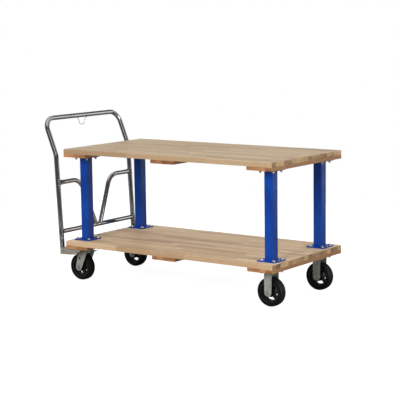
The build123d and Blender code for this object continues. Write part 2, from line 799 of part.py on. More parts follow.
with BuildPart() as ball_row:
    with Locations((0, 0, ball_height)):
        with PolarLocations(race_pitch_radius, ball_count):
            Sphere(ball_diameter / 2)

rear_corners = [corners["rear_left"], corners["rear_right"]]
for side_name in ("left", "right"):
    save(placed(swivel_plate, corners[f"rear_{side_name}"]), f"swivel_plate_{side_name}")
    save(placed(swivel_fork, corners[f"rear_{side_name}"]), f"swivel_fork_{side_name}")
save(placed(kingpin, *rear_corners), "swivel_kingpins")
save(placed(ball_row, *rear_corners), "swivel_balls")
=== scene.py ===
# %% [markdown]
# # A double-deck platform truck, dressed for its portrait
# The truck's shape is finished before this lesson starts: every board, tube, bolt and wheel arrives
# as a mesh in metres, standing on the floor at height zero. What is left is what Blender is good
# at. We light the truck, give every surface a finish with its own grain and wear, and add the small
# shapes that a shop leaves behind, such as weld beads and the moulding lines of the tyres.
#
# We keep the box that they fill, because nothing that we add may make the truck any bigger.

# %% Load the truck
import json
import math
import bpy
import numpy as np
from mathutils import Matrix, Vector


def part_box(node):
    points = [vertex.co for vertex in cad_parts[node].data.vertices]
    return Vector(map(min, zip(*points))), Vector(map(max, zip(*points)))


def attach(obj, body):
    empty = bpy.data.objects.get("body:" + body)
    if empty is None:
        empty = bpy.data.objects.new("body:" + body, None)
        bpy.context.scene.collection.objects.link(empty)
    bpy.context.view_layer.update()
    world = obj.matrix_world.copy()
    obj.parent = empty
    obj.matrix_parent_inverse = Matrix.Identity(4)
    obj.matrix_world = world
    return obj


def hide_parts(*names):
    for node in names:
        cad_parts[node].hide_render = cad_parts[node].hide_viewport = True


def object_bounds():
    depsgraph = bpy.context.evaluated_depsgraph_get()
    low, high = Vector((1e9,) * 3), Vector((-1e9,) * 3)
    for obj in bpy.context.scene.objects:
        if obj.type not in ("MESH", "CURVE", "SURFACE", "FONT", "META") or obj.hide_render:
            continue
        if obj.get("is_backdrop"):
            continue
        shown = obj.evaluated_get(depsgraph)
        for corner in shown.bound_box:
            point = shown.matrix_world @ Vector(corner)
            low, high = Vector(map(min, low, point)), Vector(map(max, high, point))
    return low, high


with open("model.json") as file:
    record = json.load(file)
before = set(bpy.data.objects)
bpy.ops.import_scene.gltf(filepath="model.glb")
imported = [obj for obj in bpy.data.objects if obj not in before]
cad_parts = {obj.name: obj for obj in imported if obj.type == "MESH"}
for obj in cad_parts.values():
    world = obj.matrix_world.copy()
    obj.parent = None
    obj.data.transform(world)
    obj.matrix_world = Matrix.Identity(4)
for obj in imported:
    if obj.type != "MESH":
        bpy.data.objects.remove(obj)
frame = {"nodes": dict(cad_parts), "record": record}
nodes = frame["nodes"]
cad_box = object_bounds()
slot_of = {part["node"]: part["material_slot"] for part in frame["record"]["subparts"]}
print("pieces from the workshop:", len(nodes))
print("the truck's box, in metres:", [tuple(round(x, 4) for x in corner) for corner in cad_box])

# %% [markdown]
# ## The camera
# A long lens far away flattens perspective, which is how trucks and furniture are usually shown. We
# place the camera by three angles: how far it has walked round the truck, how high it looks down
# from, and how far it is tipped about its own line of sight. Building the turn from three arrows
# (right, up and back) is easier to trust than three Euler angles, because each arrow can be checked.

# %% Camera arrows from three angles
camera_walk = math.radians(36.149)
camera_rise = math.radians(8.153)
camera_tip = math.radians(-0.782)
camera_place = (4.2288, -5.6784, 1.4795)
camera_lens_mm = 116.92
film_width_mm = 36.0


def camera_arrows(walk, rise, tip):
    """Right, up and back: back points from the truck to the camera, and the tip turns the others."""
    back = np.array([math.sin(walk) * math.cos(rise), -math.cos(walk) * math.cos(rise), math.sin(rise)])
    right = np.array([math.cos(walk), math.sin(walk), 0.0])
    up = np.cross(back, right)
    tipped_right = right * math.cos(tip) + up * math.sin(tip)
    tipped_up = up * math.cos(tip) - right * math.sin(tip)
    return tipped_right, tipped_up, back


camera_right, camera_up, camera_back = camera_arrows(camera_walk, camera_rise, camera_tip)
camera = bpy.data.objects.new("camera", bpy.data.cameras.new("camera"))
bpy.context.scene.collection.objects.link(camera)
camera_turn = np.eye(4)
camera_turn[:3] = np.column_stack([camera_right, camera_up, camera_back, camera_place])
camera.matrix_world = Matrix(camera_turn.tolist())
camera.data.lens = camera_lens_mm
camera.data.sensor_width = film_width_mm
camera.data.clip_end = 200.0
bpy.context.scene.camera = camera
print("camera's distance from the truck's origin:", round(math.dist(camera_place, (0, 0, 0)), 2), "m")

# %% [markdown]
# ## Small tools for node trees
# A finish in Blender is a little factory of nodes. Written out in full, each one costs many lines of
# "make a node, set a number, join two sockets". These helpers do the joining, so that a finish reads
# like a recipe. A value may be a number, a colour or another node's socket.

# %% Node helpers
def put(tree, kind, inputs=None, **settings):
    """Adds a node, applies its settings, then fills or joins each input that is named or numbered."""
    node = tree.nodes.new("ShaderNode" + kind)
    for key, value in settings.items():
        setattr(node, key, value)
    for key, value in (inputs or {}).items():
        if isinstance(value, bpy.types.NodeSocket):
            tree.links.new(value, node.inputs[key])
        else:
            node.inputs[key].default_value = value
    return node


def calc(tree, operation, *values):
    """One arithmetic step on up to three values."""
    return put(tree, "Math", dict(enumerate(values)), operation=operation).outputs[0]


def pack(tree, x, y, z):
    """Three values as one vector."""
    return put(tree, "CombineXYZ", {0: x, 1: y, 2: z}).outputs[0]


def unpack(tree, vector):
    """The three values of one vector."""
    return put(tree, "SeparateXYZ", {0: vector}).outputs


def cloud(tree, vector, scale=1.0, detail=3.0, rough=0.5):
    """Soft random clouds from 0 to 1; scale is in clouds a metre."""
    inputs = {"Vector": vector, "Scale": scale, "Detail": detail, "Roughness": rough}
    return put(tree, "TexNoise", inputs).outputs["Fac"]


def spread(tree, value, low, high, out_low=0.0, out_high=1.0):
    """Stretches the range low to high onto another one, with soft ends, and stops outside it."""
    inputs = {0: value, 1: low, 2: high, 3: out_low, 4: out_high}
    return put(tree, "MapRange", inputs, interpolation_type="SMOOTHSTEP").outputs[0]


def mix(tree, share, first, second, way="MIX"):
    """Blends two colours; share is how much of the second one shows."""
    inputs = {0: share, 6: first, 7: second}
    return put(tree, "Mix", inputs, data_type="RGBA", blend_type=way).outputs[2]


def palette(tree, value, *stops):
    """Runs a value through a strip of (place, colour) stops."""
    node = put(tree, "ValToRGB", {0: value})
    strip = node.color_ramp.elements
    while len(strip) < len(stops):
        strip.new(0.5)
    for element, (place, colour) in zip(strip, stops):
        element.position = place
        element.color = colour
    return node.outputs[0]


def shade(red, green, blue):
    """A colour given as on a paint chart, 0 to 255, turned into the light values Blender mixes."""
    chart = np.array([red, green, blue]) / 255.0
    light = np.where(chart <= 0.04045, chart / 12.92, ((chart + 0.055) / 1.055) ** 2.4)
    return (*light.tolist(), 1.0)


def new_finish(name):
    """An empty material tree and its object-space position, ready for a recipe."""
    material = bpy.data.materials.new(name)
    material.use_nodes = True
    material.node_tree.nodes.clear()
    place = put(material.node_tree, "TexCoord").outputs["Object"]
    return material, material.node_tree, place


def close_finish(material, colour, roughness, relief, depth, **constants):
    """Joins colour, roughness and relief to one shader; constants sit on the shader's own sockets."""
    tree = material.node_tree
    bump = put(tree, "Bump", {"Height": relief, "Distance": depth, "Strength": 1.0})
    inputs = {"Base Color": colour, "Roughness": roughness, "Normal": bump.outputs[0]}
    inputs.update({key.replace("_", " "): value for key, value in constants.items()})
    shader = put(tree, "BsdfPrincipled", inputs)
    put(tree, "OutputMaterial", {"Surface": shader.outputs[0]})
    return material


print("paint chart mid grey becomes", [round(x, 3) for x in shade(128, 128, 128)[:3]])

# %% [markdown]
# ## Floor and light
# A catalogue truck stands in a white room. Bare metal, though, shows whatever stands around it, and
# a room that is white all round would make a bright tube look like chalk. Studios solve this with
# black cloth and strips of light that the camera never sees directly. We do the same with a node
# that tells the camera's own view from every other ray. The camera sees a white floor and a white
# sky. Reflections and bounced light see a grey floor and a dim studio with strip lights: tall ones
# for the upright tubes, one ahead on each side of the truck for the tubes that lie across, a glowing
# screen behind the truck that puts a sheen on the boards, and a broad light overhead. The floor is
# only as large as the shadow needs, so that flat rays from the tubes run past it to the strips.

# %% The floor
floor_half = 3.0
floor_mesh = bpy.data.meshes.new("floor")
floor_mesh.from_pydata([(-floor_half, -floor_half, 0), (floor_half, -floor_half, 0),
                        (floor_half, floor_half, 0), (-floor_half, floor_half, 0)], [], [(0, 1, 2, 3)])
floor = bpy.data.objects.new("floor", floor_mesh)
bpy.context.scene.collection.objects.link(floor)
floor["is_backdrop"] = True
floor_finish, floor_tree, floor_place = new_finish("studio_floor")
floor_speckle = cloud(floor_tree, floor_place, 60.0)
grey_paint = mix(floor_tree, floor_speckle, shade(132, 132, 132), shade(142, 142, 142))
pale_paint = mix(floor_tree, floor_speckle, shade(150, 150, 150), shade(158, 158, 158))
floor_grey = put(floor_tree, "BsdfDiffuse", {"Color": grey_paint})
floor_pale = put(floor_tree, "BsdfPrincipled", {"Base Color": pale_paint, "Roughness": 0.9,
                                                "Emission Color": (1, 1, 1, 1),
                                                "Emission Strength": 0.90})
floor_seen = put(floor_tree, "LightPath").outputs["Is Camera Ray"]
floor_both = put(floor_tree, "MixShader", {0: floor_seen, 1: floor_grey.outputs[0], 2: floor_pale.outputs[0]})
put(floor_tree, "OutputMaterial", {"Surface": floor_both.outputs[0]})
floor_mesh.materials.append(floor_finish)
print("floor:", 2 * floor_half, "m square,", len(floor_tree.nodes), "nodes in its finish")

# %% The studio sky
sky = bpy.data.worlds.new("studio_sky")
bpy.context.scene.world = sky
sky.use_nodes = True
sky_tree = sky.node_tree
sky_tree.nodes.clear()
way_x, way_y, way_z = unpack(sky_tree, put(sky_tree, "TexCoord").outputs["Generated"])
bearing = calc(sky_tree, "MULTIPLY_ADD", calc(sky_tree, "ARCTAN2", way_y, way_x), 0.5 / math.pi, 0.5)


def strips(*stops):
    """Brightness by compass bearing: (degrees anticlockwise from the truck's nose, brightness)."""
    greys = [(degrees / 360 + 0.5, (light, light, light, 1)) for degrees, light in stops]
    return palette(sky_tree, bearing, *greys)


def between(low, high, soft):
    """1 where the ray's rise lies between two heights, with soft ends."""
    return calc(sky_tree, "MULTIPLY", spread(sky_tree, way_z, low - soft, low + soft),
                spread(sky_tree, way_z, high - soft, high + soft, 1.0, 0.0))


tall_strips = strips((-180, 0.06), (-164, 0.06), (-156, 0.45), (-144, 0.45), (-136, 0.06), (64, 0.08),
                     (74, 0.40), (86, 0.40), (96, 0.06), (180, 0.06))
front_strip = strips((-180, 0.0), (-72, 0.0), (-64, 0.9), (-38, 0.9), (-30, 0.0))
screen = strips((-180, 0.0), (84, 0.0), (104, 1.3), (150, 1.3), (170, 0.0))
side_strip = strips((-180, 0.0), (40, 0.0), (46, 1.2), (62, 1.2), (70, 0.0))
sky_parts = ((tall_strips, between(-1.0, 0.50, 0.05)), (screen, between(0.0, 0.24, 0.03)),
             (front_strip, between(0.12, 0.50, 0.05)), (side_strip, between(-0.30, 0.42, 0.04)))
brightness = spread(sky_tree, way_z, 0.62, 0.80, 0.10, 1.0)
for part, reach in sky_parts:
    brightness = calc(sky_tree, "MAXIMUM", brightness, calc(sky_tree, "MULTIPLY", part, reach))
seen_directly = put(sky_tree, "LightPath").outputs["Is Camera Ray"]
sky_light = put(sky_tree, "Background", {"Color": mix(sky_tree, seen_directly, brightness, (1, 1, 1, 1)),
                                         "Strength": 1.0})
put(sky_tree, "OutputWorld", {"Surface": sky_light.outputs[0]})
print("lights painted on the sky:", len(sky_parts), "and the one overhead")

# %% [markdown]
# ## The lamps
# The sky gives the reflections their pattern, but its light has hardly any direction. Three square
# area lamps give that: a large one on the truck's right, one beyond its nose, and a small low one
# that lifts the wheels and forks. A sun lamp would do with less work, but its shadows are hard. A large
# lamp also mirrors itself in anything glossy, and from behind the truck that would bleach the
# boards, so only the lamp ahead of the nose may show in reflections.

# %% Three soft lamps
def soft_lamp(name, place, aim, size, power, mirrored):
    """A square lamp that faces a point: its local -Z axis is turned along the line to that point."""
    lamp = bpy.data.objects.new(name, bpy.data.lights.new(name, "AREA"))
    bpy.context.scene.collection.objects.link(lamp)
    line = np.array(aim) - np.array(place)
    away = -line / np.linalg.norm(line)
    side = np.cross((0, 0, 1), away)
    side = side / np.linalg.norm(side)
    turn = np.eye(4)
    turn[:3] = np.column_stack([side, np.cross(away, side), away, place])
    lamp.matrix_world = Matrix(turn.tolist())
    lamp.data.size = size
    lamp.data.energy = power
    lamp.visible_glossy = mirrored
    return lamp


truck_middle = (0.05, 0.0, 0.45)
soft_lamp("main_lamp", (0.4, -5.2, 2.5), truck_middle, 2.4, 290, False)
soft_lamp("fill_lamp", (5.4, -0.6, 2.0), truck_middle, 2.4, 120, True)
soft_lamp("low_lamp", (1.6, -5.0, 0.7), truck_middle, 1.4, 30, False)
bpy.context.scene.view_settings.view_transform = "Standard"

# %% [markdown]
# ## Laminated hardwood
# Each deck is a panel of narrow staves glued side by side, and each stave is made of shorter lengths
# set end to end. Painting one wood grain over the whole deck would miss that, so the recipe first
# works out which stave and which length a point belongs to, and only then asks for a colour. A
# rounding-down step numbers the staves, a second one numbers the lengths, and the two numbers feed a
# random-number node, so that every block keeps one tone all through its thickness. The grain is
# soft noise that is stretched along the stave, shifted by the block's own random numbers so that no
# two blocks match. On faces cut across the fibres the recipe shows growth rings in place of grain:
# the distance from a heart outside the block, turned into a wave by a sine.

# %% The wood recipe
stave_width = 0.0381
glue_line = 0.0006
ring_pitch = 0.0026
tone_places = (0.12, 0.38, 0.62, 0.88)
full_turn = 2 * math.pi


def laminated_wood(name, shift, quarter_turn, block_length, seed, face, ends):
    """Wood whose staves run along one axis; shift moves the board's edge to zero across the staves.

    quarter_turn says that the staves run across the truck. face and ends are four and two colours.
    """
    wood, tree, place = new_finish(name)
    turned = put(tree, "Mapping", {"Vector": place, "Location": shift,
                                   "Rotation": (0, 0, -math.pi / 2 if quarter_turn else 0)})
    along, across, up = unpack(tree, turned.outputs[0])

    stave_steps = calc(tree, "DIVIDE", across, stave_width)
    stave = calc(tree, "FLOOR", stave_steps)
    stave_luck = put(tree, "TexWhiteNoise", {"Vector": pack(tree, stave, seed, 3.0)},
                     noise_dimensions="3D").outputs["Value"]
    block_steps = calc(tree, "MULTIPLY_ADD", stave_luck, 7.0, calc(tree, "DIVIDE", along, block_length))
    block = calc(tree, "FLOOR", block_steps)
    luck = put(tree, "TexWhiteNoise", {"Vector": pack(tree, stave, block, seed)}, noise_dimensions="3D")
    tone = luck.outputs["Value"]
    wander = put(tree, "VectorMath", {0: luck.outputs["Color"], 1: (20.0, 20.0, 20.0)},
                 operation="MULTIPLY").outputs[0]

    def stretched(lengthways, crossways):
        """A point of the board scaled along and across its fibres, moved by the block's luck.

        The two numbers say how many marks fit in a metre each way, so few lengthways make them long.
        """
        long_way = pack(tree, calc(tree, "MULTIPLY", along, lengthways),
                        calc(tree, "MULTIPLY", across, crossways), calc(tree, "MULTIPLY", up, crossways))
        return put(tree, "VectorMath", {0: long_way, 1: wander}, operation="ADD").outputs[0]

    figure = cloud(tree, stretched(2.4, 60.0), detail=4.0, rough=0.55)
    fibre = cloud(tree, stretched(14.0, 520.0), detail=4.0, rough=0.6)
    pore = spread(tree, cloud(tree, stretched(60.0, 1500.0), detail=1.0), 0.60, 0.72)

    mood = calc(tree, "MULTIPLY_ADD", tone, 0.72, calc(tree, "MULTIPLY", figure, 0.28))
    long_grain = palette(tree, mood, *zip(tone_places, face))
    long_grain = mix(tree, spread(tree, fibre, 0.35, 0.70, 0.0, 0.32), long_grain, face[3])
    long_grain = mix(tree, calc(tree, "MULTIPLY", pore, 0.30), long_grain, ends[0])

    stave_edge = calc(tree, "MULTIPLY", stave, stave_width)
    heart_across = calc(tree, "MULTIPLY_ADD", tone, stave_width * 2, stave_edge)
    ring_across = calc(tree, "SUBTRACT", across, heart_across)
    ring_up = calc(tree, "MULTIPLY_ADD", stave_luck, 0.05, calc(tree, "ADD", up, 0.02))
    ring_reach = put(tree, "VectorMath", {0: pack(tree, ring_across, ring_up, 0.0)}, operation="LENGTH")
    ring_phase = calc(tree, "MULTIPLY_ADD", ring_reach.outputs["Value"], full_turn / ring_pitch,
                      calc(tree, "MULTIPLY", figure, 5.0))
    ring = calc(tree, "MULTIPLY_ADD", calc(tree, "SINE", ring_phase), 0.5, 0.5)
    run = cloud(tree, pack(tree, calc(tree, "MULTIPLY", stave, 0.37), calc(tree, "MULTIPLY", up, 30.0), seed))
    end_mood = calc(tree, "MULTIPLY_ADD", tone, 0.30, calc(tree, "MULTIPLY_ADD", ring, 0.20, run))
    end_grain = palette(tree, spread(tree, end_mood, 0.45, 1.05), (0.0, ends[0]), (1.0, ends[1]))

    facing = unpack(tree, put(tree, "TexCoord").outputs["Normal"])[1 if quarter_turn else 0]
    cut_end = spread(tree, calc(tree, "ABSOLUTE", facing), 0.55, 0.75)

    def seam(steps, pitch):
        """1 in the thin glue line at each whole step, and 0 away from it."""
        part = calc(tree, "FRACT", steps)
        edge = calc(tree, "MULTIPLY", calc(tree, "MINIMUM", part, calc(tree, "SUBTRACT", 1.0, part)), pitch)
        return spread(tree, edge, 0.0, glue_line, 1.0, 0.0)

    glue = calc(tree, "MAXIMUM", seam(stave_steps, stave_width), seam(block_steps, block_length))
    colour = mix(tree, cut_end, long_grain, end_grain)
    colour = mix(tree, calc(tree, "MULTIPLY", glue, 0.45), colour, ends[0])
    grime = spread(tree, cloud(tree, place, 5.0, detail=5.0, rough=0.65), 0.50, 0.78, 0.0, 0.22)
    colour = mix(tree, grime, colour, shade(150, 132, 108))
    relief = calc(tree, "MULTIPLY_ADD", pore, -0.6, calc(tree, "MULTIPLY_ADD", glue, -0.8, fibre))
    roughness = spread(tree, fibre, 0.25, 0.75, 0.40, 0.56)
    return close_finish(wood, colour, roughness, relief, 0.00025)


# %% Three woods
deck_low, deck_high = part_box("lower_deck")
deck_middle_x = (deck_low.x + deck_high.x) / 2
deck_half_width = (deck_high.y - deck_low.y) / 2
honey = (shade(238, 211, 174), shade(230, 201, 163), shade(219, 188, 150), shade(192, 160, 124))
# The upper deck's tones are the lower deck's made darker: painted shade that offsets the stronger lamp light
# falling on the upper deck.
upper_deck_shaded_tones = (shade(206, 182, 146), shade(198, 173, 138), shade(190, 164, 129), shade(170, 144, 112))
cleat_tan = (shade(206, 160, 110), shade(194, 146, 98), shade(178, 130, 86), shade(148, 102, 66))
cut_wood = (shade(118, 86, 60), shade(208, 172, 124))
cleat_ends = (shade(112, 70, 46), shade(176, 126, 84))
finishes = {}
deck_shift = (-deck_middle_x, deck_half_width, 0)
lower_wood = laminated_wood("lower_deck_wood", deck_shift, False, 0.46, 2.0, honey, cut_wood)
upper_wood = laminated_wood("upper_deck_wood", deck_shift, False, 0.52, 5.0, upper_deck_shaded_tones, cut_wood)
cleat_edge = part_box("lower_cleat_middle")[1].x
finishes["cleat_wood"] = laminated_wood("cleat_wood", (0, cleat_edge, 0), True, 0.40, 8.0,
                                        cleat_tan, cleat_ends)
print("staves across a deck:", round(2 * deck_half_width / stave_width, 1))

# %% [markdown]
# ## Powder coat
# The posts are sprayed with dry powder that is baked until it flows. It never flows quite flat: a
# close look shows a fine orange-peel skin, which is what breaks up its highlights. The colour is
# one blue, a little deeper where the powder lies thick, so the recipe mixes two near blues with
# large soft clouds and puts the peel in the relief. A clear coat on top would make the posts look
# wet, so the shine is left to the paint itself and set a little low.

# %% The powder coat recipe
def powder_coat(name, thin, thick):
    """Two near colours in large clouds, under an orange-peel relief of bumps about 1.6 mm wide."""
    coat, tree, place = new_finish(name)
    patches = spread(tree, cloud(tree, place, 9.0, detail=4.0), 0.35, 0.65)
    peel = cloud(tree, place, 620.0, detail=2.0)
    haze = spread(tree, cloud(tree, place, 60.0, detail=6.0, rough=0.7), 0.40, 0.75)
    colour = mix(tree, patches, thin, thick)
    roughness = calc(tree, "MULTIPLY_ADD", patches, 0.06, calc(tree, "MULTIPLY_ADD", haze, 0.12, 0.26))
    return close_finish(coat, colour, roughness, peel, 0.00006, Specular_IOR_Level=0.35)


finishes["blue_powder_coat"] = powder_coat("blue_powder_coat", shade(8, 60, 146), shade(6, 50, 128))
print("nodes in the powder coat:", len(finishes["blue_powder_coat"].node_tree.nodes))

# %% [markdown]
# ## Bright drawn tube
# The handle is bright plated steel tube. Nearly all of what we see on it is its surroundings, so its
# own recipe is quiet: faint clouds where hands have dulled the plating, and a very fine grain. What
# tells a welded handle from a bent wire is the heat. Close to each weld the plating turns faintly
# straw and then grey-lilac, so the recipe measures the distance to the nearest joint and tints by
# it. Both sides of the handle match, so the sideways place is made positive first and one list of
# joints does for both.

# %% Where the handle's joints are
tube_radius = 0.01335
cross_low, cross_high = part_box("handle_cross_tube")
cross_radius = (cross_high.z - cross_low.z) / 2
cross_x = (cross_low.x + cross_high.x) / 2
cross_z = (cross_low.z + cross_high.z) / 2
upright_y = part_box("handle_tube")[1].y - tube_radius
upright_lean = math.radians(3.1)
flat_half_height = 0.016
flat_half_width = 0.008
brace_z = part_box("handle_brace_left")[1].z - flat_half_height * math.cos(upright_lean)
brace_x = cross_x - (brace_z - cross_z) * math.tan(upright_lean)
side_joints = ((cross_x, upright_y, cross_z), (brace_x, upright_y, brace_z))
print("cross tube at", round(cross_z, 4), "m, braces meet the uprights at", round(brace_z, 4), "m")


# %% The bright tube recipe
def bright_plate(name, clean, dull, joints, reach):
    """Polished metal with dulled clouds, tinted by how near a point is to one of the joints."""
    plate, tree, place = new_finish(name)
    x, y, z = unpack(tree, place)
    folded = pack(tree, x, calc(tree, "ABSOLUTE", y), z)
    heat = 0.0
    for joint in joints:
        gap = put(tree, "VectorMath", {0: folded, 1: joint}, operation="DISTANCE").outputs["Value"]
        heat = calc(tree, "MAXIMUM", heat, spread(tree, gap, tube_radius, reach, 1.0, 0.0))
    handled = spread(tree, cloud(tree, place, 26.0, detail=6.0, rough=0.6), 0.42, 0.72)
    grain = cloud(tree, place, 1400.0, detail=2.0)
    blush = palette(tree, heat, (0.0, shade(232, 232, 232)), (0.35, shade(226, 218, 204)),
                    (0.75, shade(208, 200, 204)), (1.0, shade(180, 176, 182)))
    colour = mix(tree, handled, clean, dull)
    colour = mix(tree, 1.0, colour, blush, "MULTIPLY")
    roughness = calc(tree, "MULTIPLY_ADD", handled, 0.10, calc(tree, "MULTIPLY_ADD", heat, 0.22, 0.10))
    return close_finish(plate, colour, roughness, grain, 0.00001, Metallic=1.0)


heat_reach = 0.032
finishes["bright_tube"] = bright_plate("bright_tube", shade(206, 206, 208), shade(178, 178, 180),
                                       side_joints, heat_reach)
print("heat tints fade out", round((heat_reach - tube_radius) * 1000, 1), "mm from the tube's skin")

# %% [markdown]
# ## Plain zinc
# The casters and the handle's feet are pressed from zinc-plated plate that has gone dull. Zinc sets
# in crystals, and handling and rolling leave streaks along the plate. The recipe layers three sizes:
# crystal cells a few millimetres wide, streaks that run up the forks and along the feet, and a fine
# tooth that scatters the light. A warm grey for the stains keeps it from looking like painted
# plastic. Screws, nuts and washers get the same recipe, smoother and with marks that run no one way.

# %% The zinc recipe
def dull_zinc(name, light, dark, stain, streak, smooth, metal):
    """Crystal cells, streaks and stains; streak is how often the marks repeat along x, y and z."""
    zinc, tree, place = new_finish(name)
    cell = put(tree, "TexVoronoi", {"Vector": place, "Scale": 260.0}).outputs["Color"]
    crystal = unpack(tree, cell)[0]
    drawn = put(tree, "VectorMath", {0: place, 1: streak}, operation="MULTIPLY").outputs[0]
    streaks = cloud(tree, drawn, detail=5.0, rough=0.62)
    stains = spread(tree, cloud(tree, place, 44.0, detail=6.0, rough=0.68), 0.52, 0.74)
    tooth = cloud(tree, place, 1900.0, detail=2.0)
    mood = calc(tree, "MULTIPLY_ADD", crystal, 0.22, calc(tree, "MULTIPLY", streaks, 0.78))
    colour = mix(tree, spread(tree, mood, 0.30, 0.66), dark, light)
    colour = mix(tree, calc(tree, "MULTIPLY", stains, 0.45), colour, stain)
    roughness = calc(tree, "MULTIPLY_ADD", streaks, 0.16, calc(tree, "MULTIPLY_ADD", stains, 0.10, smooth))
    relief = calc(tree, "MULTIPLY_ADD", crystal, 0.35, tooth)
    return close_finish(zinc, colour, roughness, relief, 0.00004, Metallic=metal)


upright_streak = (170.0, 170.0, 16.0)
lengthways_streak = (22.0, 170.0, 170.0)
no_streak = (90.0, 90.0, 90.0)
finishes["caster_zinc"] = dull_zinc("caster_zinc", shade(200, 200, 192), shade(156, 154, 144),
                                    shade(112, 106, 92), upright_streak, 0.40, 0.6)
finishes["zinc_channel"] = dull_zinc("zinc_channel", shade(190, 185, 170), shade(148, 142, 128),
                                     shade(108, 101, 86), lengthways_streak, 0.42, 0.6)
finishes["zinc_fastener"] = dull_zinc("zinc_fastener", shade(226, 226, 220), shade(184, 184, 178),
                                      shade(140, 136, 122), no_streak, 0.20, 0.95)
print("zinc finishes:", [name for name in finishes if "zinc" in name])

# %% [markdown]
# ## Ground steel
# The races, balls and axle sleeves are ground bearing steel under a film of grease. Grinding leaves
# fine even marks, and grease smears darken it in patches, so only two noises are needed.

# %% The bearing steel recipe
def ground_steel(name, bright, greasy):
    """Polished steel with grease patches that are darker and smoother than the ground metal."""
    steel, tree, place = new_finish(name)
    grease = spread(tree, cloud(tree, place, 85.0, detail=4.0, rough=0.6), 0.46, 0.62)
    grinding = cloud(tree, place, 2600.0, detail=1.0)
    colour = mix(tree, grease, bright, greasy)
    roughness = calc(tree, "MULTIPLY_ADD", grinding, 0.14, calc(tree, "MULTIPLY_ADD", grease, -0.06, 0.18))
    return close_finish(steel, colour, roughness, grinding, 0.00001, Metallic=1.0)


finishes["bearing_steel"] = ground_steel("bearing_steel", shade(205, 206, 208), shade(120, 112, 98))
print("nodes in the ground steel:", len(finishes["bearing_steel"].node_tree.nodes))

# %% [markdown]
# ## Painted cast iron
# The wheel cores are sand castings dipped in black paint. The sand leaves a pebbled skin and the
# paint fills its smallest pits, so the relief is two sizes of cloud and the shine is uneven. Dust
# settles in the hollows, which a third cloud adds as a brown-grey bloom.

# %% The cast iron recipe
def painted_casting(name, paint, dust):
    """Pebbled relief from two sizes of cloud, under black paint with a dusty bloom."""
    casting, tree, place = new_finish(name)
    pebbles = cloud(tree, place, 380.0, detail=3.0)
    lumps = cloud(tree, place, 90.0, detail=2.0)
    bloom = spread(tree, cloud(tree, place, 30.0, detail=6.0, rough=0.7), 0.45, 0.75)
    colour = mix(tree, calc(tree, "MULTIPLY", bloom, 0.35), paint, dust)
    roughness = calc(tree, "MULTIPLY_ADD", bloom, 0.25, 0.36)
    relief = calc(tree, "MULTIPLY_ADD", lumps, 0.8, pebbles)
    return close_finish(casting, colour, roughness, relief, 0.0003)


finishes["iron_core"] = painted_casting("iron_core", shade(15, 15, 16), shade(52, 48, 43))
print("nodes in the painted iron:", len(finishes["iron_core"].node_tree.nodes))

# %% [markdown]
# ## Moulded rubber
# Tyre rubber is black all through, but a tread that has rolled over a warehouse floor goes grey and
# matt while the side walls keep a soft sheen. We build the tyres ourselves further on, so we can let
# their mesh say where the tread is: an attribute named tread is 1 on the running face and 0 on the
# walls. A UV map in real metres runs round the tyre, so scuffs can be drawn out along the rolling
# direction and stay with the rubber as the wheel turns.

# %% The rubber recipe
def moulded_rubber(name, rubber, scuffed):
    """Black walls and a greyed tread, with scuffs drawn out along the rolling direction."""
    tyre_finish, tree, _ = new_finish(name)
    roll, width, _ = unpack(tree, put(tree, "UVMap", uv_map="wrap").outputs[0])
    tread = put(tree, "Attribute", attribute_name="tread").outputs["Fac"]
    drawn_out = pack(tree, calc(tree, "MULTIPLY", roll, 35.0), calc(tree, "MULTIPLY", width, 260.0), 0.0)
    scuffs = cloud(tree, drawn_out, detail=5.0, rough=0.6)
    skin = cloud(tree, pack(tree, roll, width, 0.0), 900.0, detail=2.0)
    dusty = cloud(tree, pack(tree, roll, width, 4.0), 40.0, detail=5.0, rough=0.65)
    worn = calc(tree, "MULTIPLY", tread, spread(tree, scuffs, 0.35, 0.70, 0.05, 0.50))
    bloom = spread(tree, dusty, 0.50, 0.80, 0.0, 0.30)
    colour = mix(tree, calc(tree, "MAXIMUM", worn, bloom), rubber, scuffed)
    roughness = calc(tree, "MULTIPLY_ADD", tread, 0.22, calc(tree, "MULTIPLY_ADD", bloom, 0.4, 0.44))
    relief = calc(tree, "MULTIPLY_ADD", scuffs, 0.6, skin)
    return close_finish(tyre_finish, colour, roughness, relief, 0.00012, Specular_IOR_Level=0.3)


finishes["tyre_rubber"] = moulded_rubber("tyre_rubber", shade(9, 9, 10), shade(20, 20, 20))
print("finishes by kind:", sorted(finishes))

# %% [markdown]
# ## Put the finishes on
# Each piece from the workshop names the kind of surface that it has. We look the finish up by that
# name and set it in the piece's own material slot. The two decks share a kind and get one recipe
# with two seeds, and the upper deck's colours are a darker copy of the lower deck's: painted shade
# that offsets the stronger lamp light falling on the upper deck.

# %% Hand each piece its finish
deck_woods = {"lower_deck": lower_wood, "upper_deck": upper_wood}
for node_name, piece in nodes.items():
    finish = deck_woods.get(node_name) or finishes[slot_of[node_name]]
    if not piece.data.materials:
        piece.data.materials.append(finish)
    for index in range(len(piece.data.materials)):
        piece.data.materials[index] = finish
print("finishes in use:", len({piece.data.materials[0].name for piece in nodes.values()}))

# %% [markdown]
# ## Surfaces from arrays
# Everything that we add is a closed skin: a small outline carried round a closed path. Put the
# points in a grid, with one row for each place on the path and one column for each point of the
# outline, and the faces follow from the row and column numbers alone. The last row joins the first
# and the last column joins the first, so there is no seam or hole to close. Adding up the small
# cones between the origin and each face gives the skin's volume, and a negative one means that the
# faces look inwards, so we flip them.

